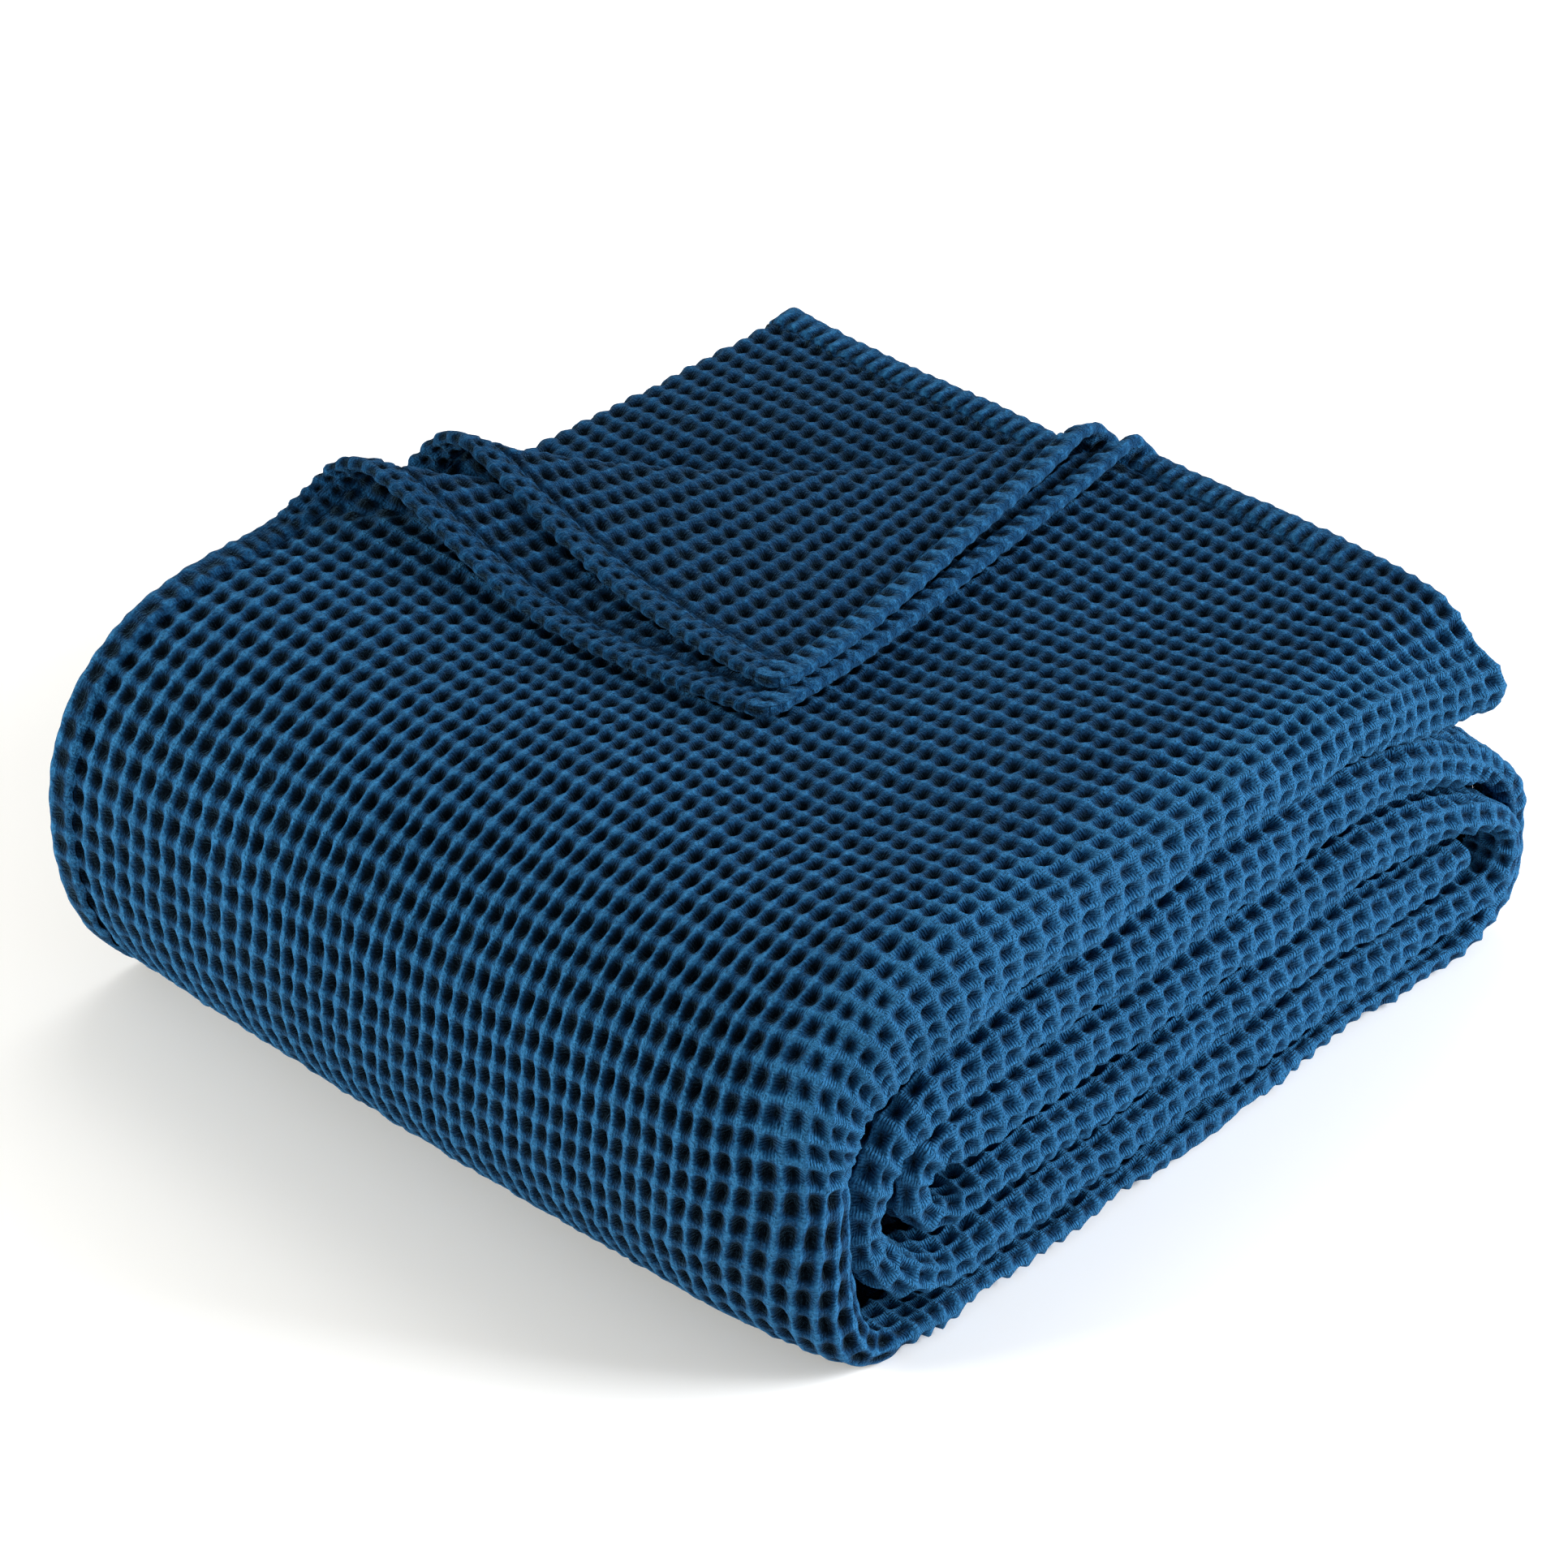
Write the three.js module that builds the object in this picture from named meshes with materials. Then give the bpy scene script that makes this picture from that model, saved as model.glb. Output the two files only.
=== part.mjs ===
// A waffle weave throw blanket, folded in four across its width, then rolled flat along its length
// into six lengths, with the top corner of its two outer layers turned back.
// Millimetres, +Z up, X along the lengths, Y across them from the front, origin on the floor
// under the middle of the folded blanket.

import * as THREE from "three";

// Cloth

const SHEET_HALF = 1.1; // half the thickness of the pressed waffle cloth
const LAYER_ROOM = 1.9; // from the middle of an outer layer to the face of its length

// Edges of a length at the back: hem of the outer layer, fold of the two lowest, hem of the second
const BACK = { topHem: 353, fold: 345, secondHem: 350 };

// Lengths, from the floor up: thickness, and front face position, at stations along X
const STATIONS = [10, 90, 170, 250];
const LENGTHS = {
  bottom: { thick: [14, 14, 14, 14], front: [-9, -7, -3, 2] },
  fifth: { thick: [20, 23, 25, 26], front: [-10, -7, -4, -1] },
  fourth: { thick: [21, 22, 23, 24], front: [-8, -6, -4, -3] },
  third: { thick: [26, 26, 27, 29], front: [-6, -5, -4, -3] },
  second: { thick: [24, 30, 35, 29.5], front: [-6, -6, -6, -3] },
  flap: { thick: [53, 42, 33, 33], front: [-12, -9, -8, -7] },
};
const ORDER = ["bottom", "fifth", "fourth", "third", "second", "flap"];

// End folds: outermost X of the outer and the inner face, how square each is above and below (2 is
// an ellipse),
// opening of the eye inside the fold, height of the outermost point, where the curve leaves the upper
// and the lower length, front face, and how far the front corner draws in
const FOLDS = {
  outerLeft: {
    outside: { reach: -60, square: [2.4, 2.1] },
    inside: { reach: -26, square: [2.5, 2.3] },
    eye: 0,
    height: 80,
    upper: 35,
    lower: 0,
    front: -4,
    drawnIn: 16,
  },
  middleLeft: {
    outside: { reach: -15, square: [2.2, 2.2] },
    inside: { reach: 1, square: [2.2, 2.2] },
    eye: 0,
    height: 55,
    upper: 35,
    lower: 30,
    front: -2,
    drawnIn: 2,
  },
  innerLeft: {
    outside: { reach: 8, square: [2.4, 2.4] },
    inside: { reach: 24, square: [2.2, 2.2] },
    eye: 3,
    height: 55,
    upper: 42,
    lower: 42,
    front: -1,
    drawnIn: 2,
  },
  outerRight: {
    outside: { reach: 353.5, square: [1.85, 2.5] },
    inside: { reach: 340, square: [2.15, 2.7] },
    eye: 0,
    height: 46,
    upper: 236,
    lower: 300,
    front: 3,
    drawnIn: 2,
  },
  innerRight: {
    outside: { reach: 338, square: [1.9, 2.5] },
    inside: { reach: 324.5, square: [3.2, 3.2] },
    eye: 0,
    height: 49,
    upper: 245,
    lower: 292,
    front: -6,
    drawnIn: 0,
  },
};
const CORNER_REACH = 26; // how far back the drawn-in front corner runs
const FLAP_END = 312; // hem of the top length
const FLAP_DROOP = { from: 236, drop: 12, reach: 15 }; // its front corner sags beyond the fold under it
const FLAP_PRESSED = { from: 60, to: 230, share: 0.27 }; // its layers lie closer towards the back
const ROLL_END = { x: 315, from: 280, thick: 15, drawnIn: 0 }; // hem of the innermost length

// Where each length runs, in the order of the roll, with the fold that follows it
const ROLL = [
  { length: "flap", from: FLAP_END, fold: "outerLeft", turns: "down" },
  { length: "bottom", fold: "outerRight", turns: "up" },
  { length: "second", fold: "middleLeft", turns: "down" },
  { length: "fifth", fold: "innerRight", turns: "up" },
  { length: "third", fold: "innerLeft", turns: "down" },
  { length: "fourth", to: ROLL_END.x },
];

// Turned-back corner of the two upper layers: outermost line of its turn at the side hem and at the
// end hem, where the tip lands, how far the middle of that line bows forward, the rest above the top
// layer, how far the turn reaches at the side hem and beyond, how much taller than its rest it stands
// at the side hem and at the end hem, and how much the cloth lifts before it at the side hem
const TURNED = {
  top: { side: 76, end: 160, tip: [82, 132], bow: 22, rest: 5.4, turn: [15, 3.4], tall: [19, 4], lift: 6 },
  second: { side: 118, end: 172, tip: [92, 137], bow: 26, rest: 10.6, turn: [17, 10], tall: [11, 4], lift: 0 },
};
const TALL_SHARE = [0.5, 0.12]; // shares of the crease, from its ends, over which it stands taller
const LIFT_REACH = 75; // over which the cloth lifts before the turn
const DESCENT = 90; // over which the turned cloth comes down to rest

// Unevenness of the stack
const WAVE = { height: 1.6, alongX: 190, alongY: 150, bulge: 5 };

// Faceting
const ROLL_CHORD = 0.8; // largest gap between a facet and an end fold
const LONGEST = 66; // of a facet along a length
const CORNER_CHORD = 0.75; // largest gap between a facet and the turned-back corner
const SHORTEST = 4; // no edge there is split below twice this
const SAMPLE = 3; // spacing of the samples that lay out the roll

// Origin of the part in the coordinates used above
const CENTRE = { x: 144.7, y: 171 };

const clamp01 = (x) => Math.min(1, Math.max(0, x));
const ease = (x) => clamp01(x) ** 2 * (3 - 2 * clamp01(x));
const mix = (a, b, share) => a + (b - a) * share;

// A value given at the stations along X, level beyond the first and the last
function alongStations(values, x) {
  const pitch = STATIONS[1] - STATIONS[0];
  const place = Math.min(STATIONS.length - 1, Math.max(0, (x - STATIONS[0]) / pitch));
  const before = Math.min(STATIONS.length - 2, Math.floor(place));
  return mix(values[before], values[before + 1], ease(place - before));
}

function thickness(name, x) {
  const thick = alongStations(LENGTHS[name].thick, x);
  const nearEnd = name === "fourth" ? ease((x - ROLL_END.from) / (ROLL_END.x - ROLL_END.from)) : 0;
  return mix(thick, ROLL_END.thick, nearEnd);
}

// Heights of the lower and the upper face of a length
function faces(name, x) {
  let floor = SHEET_HALF - LAYER_ROOM;
  for (const below of ORDER) {
    if (below === name) break;
    floor += alongStations(LENGTHS[below].thick, x);
  }
  const spare = alongStations(LENGTHS[name].thick, x) - thickness(name, x);
  return [floor + spare / 2, floor + spare / 2 + thickness(name, x)];
}

function straightSample(name, x, turns) {
  const [low, high] = faces(name, x);
  const nearEnd = name === "fourth" ? ease((x - ROLL_END.from) / (ROLL_END.x - ROLL_END.from)) : 0;
  const outward = turns === "down" ? 1 : -1;
  return {
    x,
    z: (low + high) / 2,
    ax: 0,
    az: (outward * (high - low)) / 2,
    front: alongStations(LENGTHS[name].front, x),
    drawn: ROLL_END.drawnIn * nearEnd,
  };
}

// A point of one face of an end fold, at an angle from -1 straight up to 1 straight down
function foldFace({ reach, square }, start, height, edge, angle) {
  const [c, s] = [Math.cos((angle * Math.PI) / 2), Math.abs(Math.sin((angle * Math.PI) / 2))];
  const power = angle < 0 ? square[0] : square[1];
  const size = (c ** power + s ** power) ** (-1 / power);
  return { x: start + (reach - start) * c * size, z: height + (edge - height) * s * size };
}

// A point of an end fold, share 0 at its upper length and 1 at its lower one
function foldSample(fold, upperName, lowerName, share) {
  const angle = share * 2 - 1;
  const upper = angle < 0;
  const [name, start] = upper ? [upperName, fold.upper] : [lowerName, fold.lower];
  const [low, high] = faces(name, start);
  const out = foldFace(fold.outside, start, fold.height, upper ? high : low, angle);
  const within = foldFace(fold.inside, start, fold.height, upper ? low : high, angle);
  const turned = Math.cos((angle * Math.PI) / 2) ** 2;
  within.z -= fold.eye * Math.sin(Math.PI * angle);
  return {
    x: (out.x + within.x) / 2,
    z: (out.z + within.z) / 2,
    ax: (out.x - within.x) / 2,
    az: (out.z - within.z) / 2,
    front: mix(alongStations(LENGTHS[name].front, start), fold.front, turned),
    drawn: fold.drawnIn * turned,
  };
}

// Samples along the whole roll, with the distance run and half the thickness at each
function layOutRoll() {
  const samples = [];
  let start = ROLL[0].from;
  ROLL.forEach(({ length, fold, turns, to }, i) => {
    const next = fold ? FOLDS[fold] : null;
    const end = next ? (turns === "down" ? next.upper : next.lower) : to;
    const outward = ORDER.indexOf(length) >= ORDER.indexOf("third") ? "down" : "up";
    const count = Math.ceil(Math.abs(end - start) / SAMPLE);
    for (let k = 0; k < count; k++)
      samples.push(straightSample(length, mix(start, end, k / count), outward));
    if (!next) {
      samples.push(straightSample(length, end, outward));
      return;
    }
    const after = ROLL[i + 1].length;
    const [upper, lower] = turns === "down" ? [length, after] : [after, length];
    const arc = Math.ceil((2 * Math.abs(faces(upper, end)[1] - faces(lower, end)[0])) / SAMPLE);
    for (let k = 0; k < arc; k++) {
      const share = turns === "down" ? k / arc : 1 - k / arc;
      samples.push(foldSample(next, upper, lower, share));
    }
    start = turns === "down" ? next.lower : next.upper;
  });
  samples[0].run = 0;
  for (let i = 1; i < samples.length; i++) {
    const [a, b] = [samples[i - 1], samples[i]];
    b.run = a.run + Math.hypot(b.x - a.x, b.z - a.z);
  }
  for (const here of samples) {
    here.half = Math.hypot(here.ax, here.az);
    here.ax /= here.half;
    here.az /= here.half;
  }
  return samples;
}

const roll = layOutRoll();
const ROLL_LENGTH = roll[roll.length - 1].run;

// The roll at a distance run from the hem of the flap
function alongRoll(run) {
  let low = 0;
  let high = roll.length - 1;
  while (high - low > 1) {
    const middle = (low + high) >> 1;
    if (roll[middle].run <= run) low = middle;
    else high = middle;
  }
  const [a, b] = [roll[low], roll[high]];
  const share = (run - a.run) / (b.run - a.run);
  const at = {};
  for (const key of ["x", "z", "ax", "az", "half", "front", "drawn"]) at[key] = mix(a[key], b[key], share);
  return at;
}

// Parts of a section across the cloth, from the hem of the outer layer round to the hem of the second
const SECTION = [
  { part: "top", steps: 3 },
  { part: "outerFold", steps: 6 },
  { part: "low", steps: 3 },
  { part: "backFold", steps: 4 },
  { part: "inside", steps: 3 },
  { part: "innerFold", steps: 4 },
  { part: "second", steps: 3 },
];

// Section of a length: offset from its middle towards the outside of the roll, and place across it,
// at a share of one of its parts
function acrossLength(part, share, { half, front }) {
  const outer = half - LAYER_ROOM;
  const inner = outer / 3;
  const frontY = front + outer;
  const backY = BACK.fold - inner;
  const innerY = frontY + 2 * inner;
  const turn = Math.PI * (share - 0.5);
  if (part === "top") return { off: outer, y: mix(BACK.topHem, frontY, share) };
  if (part === "outerFold") return { off: -outer * Math.sin(turn), y: frontY - outer * Math.cos(turn) };
  if (part === "low") return { off: -outer, y: mix(frontY, backY, share) };
  if (part === "backFold") return { off: inner * (Math.sin(turn) - 2), y: backY + inner * Math.cos(turn) };
  if (part === "inside") return { off: -inner, y: mix(backY, innerY, share) };
  if (part === "innerFold") return { off: inner * Math.sin(turn), y: innerY - inner * Math.cos(turn) };
  return { off: inner, y: mix(innerY, BACK.secondHem, share) };
}

// Height of the middle of the top layer over a place on the flap
function topLayerHeight(x) {
  return faces("flap", Math.max(x, FOLDS.outerLeft.upper))[1] - LAYER_ROOM;
}

// A point of one of the two upper layers near the corner, carried over the crease if it is past it
function turnBack(point, layer) {
  const hemY = layer === "top" ? BACK.topHem : BACK.secondHem;
  const { side, end, tip, bow, rest, turn, tall, lift: rise } = TURNED[layer];
  const [lift, stop] = [new THREE.Vector2(side, hemY), new THREE.Vector2(FLAP_END, end)];
  const crease = stop.clone().sub(lift).normalize();
  const out = new THREE.Vector2(-crease.y, crease.x);
  const creaseLength = stop.distanceTo(lift);
  const fromLift = (x, y) => new THREE.Vector2(x, y).sub(lift);
  function bendAt(place) {
    const down = clamp01(place.dot(crease) / creaseLength);
    const standing = 1 - ease(down / TALL_SHARE[0]);
    const taller = tall[0] * standing + tall[1] * (1 - ease((1 - down) / TALL_SHARE[1]));
    const bend = mix(turn[1], turn[0], standing);
    return { standing, taller, bend, begin: -bow * Math.sin(Math.PI * down) - bend };
  }
  const place = fromLift(point.x, point.y);
  const { standing, taller, bend, begin } = bendAt(place);
  const past = place.dot(out) - begin;
  const lifted = point.z + rise * standing * ease(1 + past / LIFT_REACH);
  if (past <= 0) return { x: point.x, y: point.y, z: lifted };
  const corner = fromLift(FLAP_END, hemY);
  const landed = fromLift(...tip);
  const atCorner = bendAt(corner);
  const cornerLaid = corner.dot(out) - atCorner.begin - Math.PI * atCorner.bend;
  const pull = (atCorner.begin - landed.dot(out)) / cornerLaid;
  const shear = (landed.dot(crease) - corner.dot(crease)) / (corner.dot(out) - atCorner.begin);
  const turning = Math.min(Math.PI, past / bend);
  const laid = Math.max(0, past - Math.PI * bend);
  const reach = bend * Math.sin(turning) - laid * pull;
  const x = point.x + out.x * (reach - past) + crease.x * shear * past;
  const y = point.y + out.y * (reach - past) + crease.y * shear * past;
  const over = topLayerHeight(x) + rest + taller * (1 - ease(laid / DESCENT));
  return { x, y, z: mix(lifted, over, (1 - Math.cos(turning)) / 2) };
}

// The middle of the cloth at a distance along its length and a share of a part of its section
function clothPoint(run, part, share) {
  const at = alongRoll(run);
  const { off, y } = acrossLength(part, share, at);
  const corner = Math.exp(-(((y - at.front) / CORNER_REACH) ** 2)) * at.drawn;
  const from = Math.sign(at.x - (STATIONS[0] + STATIONS[3]) / 2);
  let point = { x: at.x + at.ax * off - from * corner, y, z: at.z + at.az * off };
  if (run < FLAP_END - FOLDS.outerLeft.upper) {
    const pressed = FLAP_PRESSED.share * ease((y - FLAP_PRESSED.from) / (FLAP_PRESSED.to - FLAP_PRESSED.from));
    const sag = ease((at.x - FLAP_DROOP.from) / (FLAP_END - FLAP_DROOP.from));
    point.z += (at.half - LAYER_ROOM - off) * pressed * ease(at.x / FLAP_DROOP.from);
    point.z -= FLAP_DROOP.drop * sag * Math.exp(-((Math.max(0, y) / FLAP_DROOP.reach) ** 2));
    if (part === "top" || part === "second") point = turnBack(point, part);
  }
  const swell = Math.sin((2 * Math.PI * point.x) / WAVE.alongX) * Math.cos((2 * Math.PI * point.y) / WAVE.alongY);
  const depth = ease((STATIONS[0] - point.x) / (STATIONS[0] - FOLDS.outerLeft.outside.reach));
  const bulge = WAVE.bulge * depth * Math.sin(Math.PI * clamp01(point.y / BACK.topHem));
  return new THREE.Vector3(
    point.x - bulge - CENTRE.x,
    point.y - CENTRE.y,
    point.z + (WAVE.height * swell * point.z) / FOLDS.outerLeft.height / 2,
  );
}

// Distances along the roll at which the cloth is cut into facets
function runStops() {
  const stops = [0];
  const outside = ({ x, z, ax, az, half }) => new THREE.Vector2(x + ax * half, z + az * half);
  let first = 0;
  for (let last = 2; last < roll.length; last++) {
    const [from, to] = [outside(roll[first]), outside(roll[last])];
    const chord = to.clone().sub(from);
    let gap = 0;
    for (let k = first + 1; k < last; k++)
      gap = Math.max(gap, Math.abs(chord.cross(outside(roll[k]).sub(from))) / chord.length());
    if (gap > ROLL_CHORD || roll[last].run - roll[first].run > LONGEST) {
      first = last - 1;
      stops.push(roll[first].run);
    }
  }
  stops.push(ROLL_LENGTH);
  return stops;
}

// The middle surface as triangles, split in the turned-back corner where a facet would miss it
function facetCloth() {
  const points = [];
  const add = (run, column) => points.push({ run, column, at: pointOf(run, column) }) - 1;
  const columns = SECTION.flatMap(({ steps }, i) => Array.from({ length: steps }, (_, k) => i + k / steps));
  columns.push(SECTION.length);
  const rows = runStops().map((run) => columns.map((column) => add(run, column)));
  let triangles = [];
  for (let i = 0; i < rows.length - 1; i++)
    for (let j = 0; j < columns.length - 1; j++) {
      const [a, b, c, d] = [rows[i][j], rows[i + 1][j], rows[i + 1][j + 1], rows[i][j + 1]];
      triangles.push([a, b, c], [a, c, d]);
    }
  const middles = new Map();
  function middleOf(a, b) {
    const key = Math.min(a, b) + " " + Math.max(a, b);
    if (!middles.has(key)) middles.set(key, splitEdge(points[a], points[b], add));
    return middles.get(key);
  }
  let before = 0;
  while (before < triangles.length) {
    before = triangles.length;
    triangles = triangles.flatMap((triangle) => splitTriangle(triangle, middleOf, points));
  }
  return { points, triangles };
}

// A column counts parts of the section: its whole part picks one, its fraction is the share
function pointOf(run, column) {
  const part = Math.min(SECTION.length - 1, Math.floor(column));
  return clothPoint(run, SECTION[part].part, column - part);
}

// The point that splits an edge of the turned-back corner, or -1 where the edge is near enough
function splitEdge(a, b, add) {
  const last = SECTION.length - 1;
  const within = [a, b].every(({ column }) => column <= 1) || [a, b].every(({ column }) => column >= last);
  const onFlap = Math.max(a.run, b.run) < FLAP_END - FOLDS.outerLeft.upper;
  const length = Math.hypot(a.run - b.run, (a.column - b.column) * BACK.topHem);
  if (!within || !onFlap || length < 2 * SHORTEST) return -1;
  const missed = [0.25, 0.5, 0.75].some((share) => {
    const meant = pointOf(mix(a.run, b.run, share), mix(a.column, b.column, share));
    return meant.distanceTo(a.at.clone().lerp(b.at, share)) > CORNER_CHORD;
  });
  return missed ? add((a.run + b.run) / 2, (a.column + b.column) / 2) : -1;
}

function splitTriangle([a, b, c], middleOf, points) {
  const mids = [middleOf(a, b), middleOf(b, c), middleOf(c, a)];
  const cut = mids.filter((m) => m >= 0).length;
  if (cut === 0) return [[a, b, c]];
  if (cut === 3) {
    const [ab, bc, ca] = mids;
    return [[a, ab, ca], [ab, b, bc], [ca, bc, c], [ab, bc, ca]];
  }
  const corners = [a, b, c];
  if (cut === 1) {
    const k = mids.findIndex((m) => m >= 0);
    const [p, q, r] = [corners[k], corners[(k + 1) % 3], corners[(k + 2) % 3]];
    return [[p, mids[k], r], [mids[k], q, r]];
  }
  const k = mids.findIndex((m) => m < 0);
  const [p, q, r] = [corners[k], corners[(k + 1) % 3], corners[(k + 2) % 3]];
  const [qr, rp] = [mids[(k + 1) % 3], mids[(k + 2) % 3]];
  const near = points[p].at.distanceTo(points[qr].at) < points[q].at.distanceTo(points[rp].at);
  return near ? [[rp, qr, r], [p, q, qr], [p, qr, rp]] : [[rp, qr, r], [p, q, rp], [q, qr, rp]];
}

function clothNormal(run, column) {
  const [runStep, columnStep] = [0.5, 0.004];
  const [r0, r1] = [Math.max(0, run - runStep), Math.min(ROLL_LENGTH, run + runStep)];
  const [c0, c1] = [Math.max(0, column - columnStep), Math.min(SECTION.length, column + columnStep)];
  const alongRun = pointOf(r1, column).sub(pointOf(r0, column));
  const alongAcross = pointOf(run, c1).sub(pointOf(run, c0));
  return alongRun.cross(alongAcross).normalize();
}

// The closed solid of the cloth: its two faces and its rim
function clothGeometry() {
  const { points, triangles } = facetCloth();
  const positions = [];
  for (const side of [1, -1])
    for (const point of points) {
      const normal = clothNormal(point.run, point.column);
      const face = point.at.clone().addScaledVector(normal, side * SHEET_HALF);
      positions.push(face.x, face.y, face.z);
    }
  const count = points.length;
  const index = [];
  const rim = new Map();
  for (const [a, b, c] of triangles) {
    index.push(a, b, c, c + count, b + count, a + count);
    for (const [p, q] of [[a, b], [b, c], [c, a]]) {
      const back = q + " " + p;
      if (rim.has(back)) rim.delete(back);
      else rim.set(p + " " + q, [p, q]);
    }
  }
  for (const [p, q] of rim.values()) index.push(q, p, p + count, q, p + count, q + count);
  const geometry = new THREE.BufferGeometry();
  geometry.setAttribute("position", new THREE.Float32BufferAttribute(positions, 3));
  geometry.setIndex(index);
  return geometry;
}

const cotton = new THREE.MeshStandardMaterial({ color: 0x1f5788, roughness: 0.95, metalness: 0 });

const blanket = new THREE.Mesh(clothGeometry(), cotton);
blanket.name = "blanket";

const part = new THREE.Group();
part.add(blanket);

export default part;
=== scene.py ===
import math

import bpy
import numpy as np
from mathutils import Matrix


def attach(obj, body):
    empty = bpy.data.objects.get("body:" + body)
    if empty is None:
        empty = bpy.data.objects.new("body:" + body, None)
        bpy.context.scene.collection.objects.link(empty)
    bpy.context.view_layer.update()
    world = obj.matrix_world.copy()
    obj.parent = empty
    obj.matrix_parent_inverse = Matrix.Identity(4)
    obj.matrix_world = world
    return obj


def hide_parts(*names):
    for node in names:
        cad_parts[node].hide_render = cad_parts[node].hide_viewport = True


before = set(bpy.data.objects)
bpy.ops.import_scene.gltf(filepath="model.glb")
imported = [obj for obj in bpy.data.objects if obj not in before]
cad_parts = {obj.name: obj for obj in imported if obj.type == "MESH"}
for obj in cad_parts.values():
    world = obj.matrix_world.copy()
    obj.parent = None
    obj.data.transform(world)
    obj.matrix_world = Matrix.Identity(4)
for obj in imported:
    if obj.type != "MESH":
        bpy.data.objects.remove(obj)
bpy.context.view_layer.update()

# Sizes are in millimetres, in the part's own working coordinates: X along the lengths, Y across
# them from the front, Z up. The part's origin lies at CENTRE.
MM = 0.001
CENTRE = np.array([144.7, 171.0, 0.0])

# Camera, at the photograph's angle

CAMERA_AT = np.array([-1436.3, -1341.1, 1557.8])
CAMERA_LENS = 167.7
CAMERA_FILM = 36.0
CAMERA_SIGHT = 50.0  # metres
CAMERA_DOWN = 34.0  # degrees
CAMERA_BEARING = 44.0  # degrees

camera_data = bpy.data.cameras.new("camera")
camera_data.lens = CAMERA_LENS
camera_data.sensor_width = CAMERA_FILM
camera_data.clip_end = CAMERA_SIGHT
camera = bpy.data.objects.new("camera", camera_data)
camera.location = (CAMERA_AT - CENTRE) * MM
camera.rotation_euler = (
    math.radians(90 - CAMERA_DOWN),
    0,
    math.radians(CAMERA_BEARING - 90),
)
bpy.context.scene.collection.objects.link(camera)
bpy.context.scene.camera = camera
bpy.context.scene.view_settings.view_transform = "Standard"

# The folded cloth, as the part lays it out: lengths that lie on each other, joined by end folds

CLOTH_HALF = 1.1
LAYER_ROOM = 1.9  # from the face of a length to the middle of its outer layer
BACK = {"top_hem": 353, "fold": 345, "second_hem": 350}

# Thickness and front edge of each length, at stations along it, from the bottom length up
STATIONS = [10, 90, 170, 250]
LENGTHS = {
    "bottom": {"thick": [14, 14, 14, 14], "front": [-9, -7, -3, 2]},
    "fifth": {"thick": [20, 23, 25, 26], "front": [-10, -7, -4, -1]},
    "fourth": {"thick": [21, 22, 23, 24], "front": [-8, -6, -4, -3]},
    "third": {"thick": [26, 26, 27, 29], "front": [-6, -5, -4, -3]},
    "second": {"thick": [24, 30, 35, 29.5], "front": [-6, -6, -6, -3]},
    "flap": {"thick": [53, 42, 33, 33], "front": [-12, -9, -8, -7]},
}
ORDER = ["bottom", "fifth", "fourth", "third", "second", "flap"]

# Each end fold joins an upper and a lower length, from where these stop being straight. "out" and
# "inn" give how far its outer and inner faces reach, and how square they are above and beneath its
# height. "eye" bends the inner face, "front" is its front edge, and "drawn" pulls its front corner in.
FOLDS = {
    "outer_left": dict(
        out=(-60, 2.4, 2.1), inn=(-26, 2.5, 2.3), eye=0,
        height=80, upper=35, lower=0, front=-4, drawn=16,
    ),
    "middle_left": dict(
        out=(-15, 2.2, 2.2), inn=(1, 2.2, 2.2), eye=0,
        height=55, upper=35, lower=30, front=-2, drawn=2,
    ),
    "inner_left": dict(
        out=(8, 2.4, 2.4), inn=(24, 2.2, 2.2), eye=3,
        height=55, upper=42, lower=42, front=-1, drawn=2,
    ),
    "outer_right": dict(
        out=(353.5, 1.85, 2.5), inn=(340, 2.15, 2.7), eye=0,
        height=46, upper=236, lower=300, front=3, drawn=2,
    ),
    "inner_right": dict(
        out=(338, 1.9, 2.5), inn=(324.5, 3.2, 3.2), eye=0,
        height=49, upper=245, lower=292, front=-6, drawn=0,
    ),
}
CORNER_REACH = 26

# The top length's free end, which droops at its front and is pressed flat towards its back
FLAP_END = 312
FLAP_DROOP = {"start": 236, "drop": 12, "reach": 15}
FLAP_PRESSED = {"start": 60, "stop": 230, "share": 0.27}
FLAP_FADE = 60  # over which the turned-back corner lets go of the cloth before it
ROLL_END = {"x": 315, "start": 280, "thick": 15}

# The roll from the flap's end inwards: each length, the fold at its end, and which way it turns
ROLL = [
    ("flap", "outer_left", "down"),
    ("bottom", "outer_right", "up"),
    ("second", "middle_left", "down"),
    ("fifth", "inner_right", "up"),
    ("third", "inner_left", "down"),
    ("fourth", None, None),
]

# The turned-back corner of the two upper layers. Its crease runs from "side" on the hem to "end" on
# the flap's end, bowed by "bow", and the corner lands on "tip", "rest" above the flap. The bend's
# radius in "turn" and the extra height in "tall" are given where the crease starts and where it ends.
TURNED = {
    "top": dict(
        hem=353, side=76, end=160, tip=(82, 132),
        bow=22, rest=5.4, turn=(15, 3.4), tall=(19, 4), lift=6,
    ),
    "second": dict(
        hem=350, side=118, end=172, tip=(92, 137),
        bow=26, rest=10.6, turn=(17, 10), tall=(11, 4), lift=0,
    ),
}
TALL_SHARE = (0.5, 0.12)  # of the crease, from its start and from its end
LIFT_REACH = 75
DESCENT = 90
WAVE = {"height": 1.6, "along_x": 190, "along_y": 150, "bulge": 5}
SAMPLE = 3


def ease(x):
    x = np.clip(x, 0, 1)
    return x * x * (3 - 2 * x)


def mix(a, b, share):
    return a + (b - a) * share


def between(x, start, rise, stop, fall):
    """A share that eases up to 1 from a start, and down again from a stop."""
    return ease((x - start) / rise) * (1 - ease((x - stop) / fall))


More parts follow.
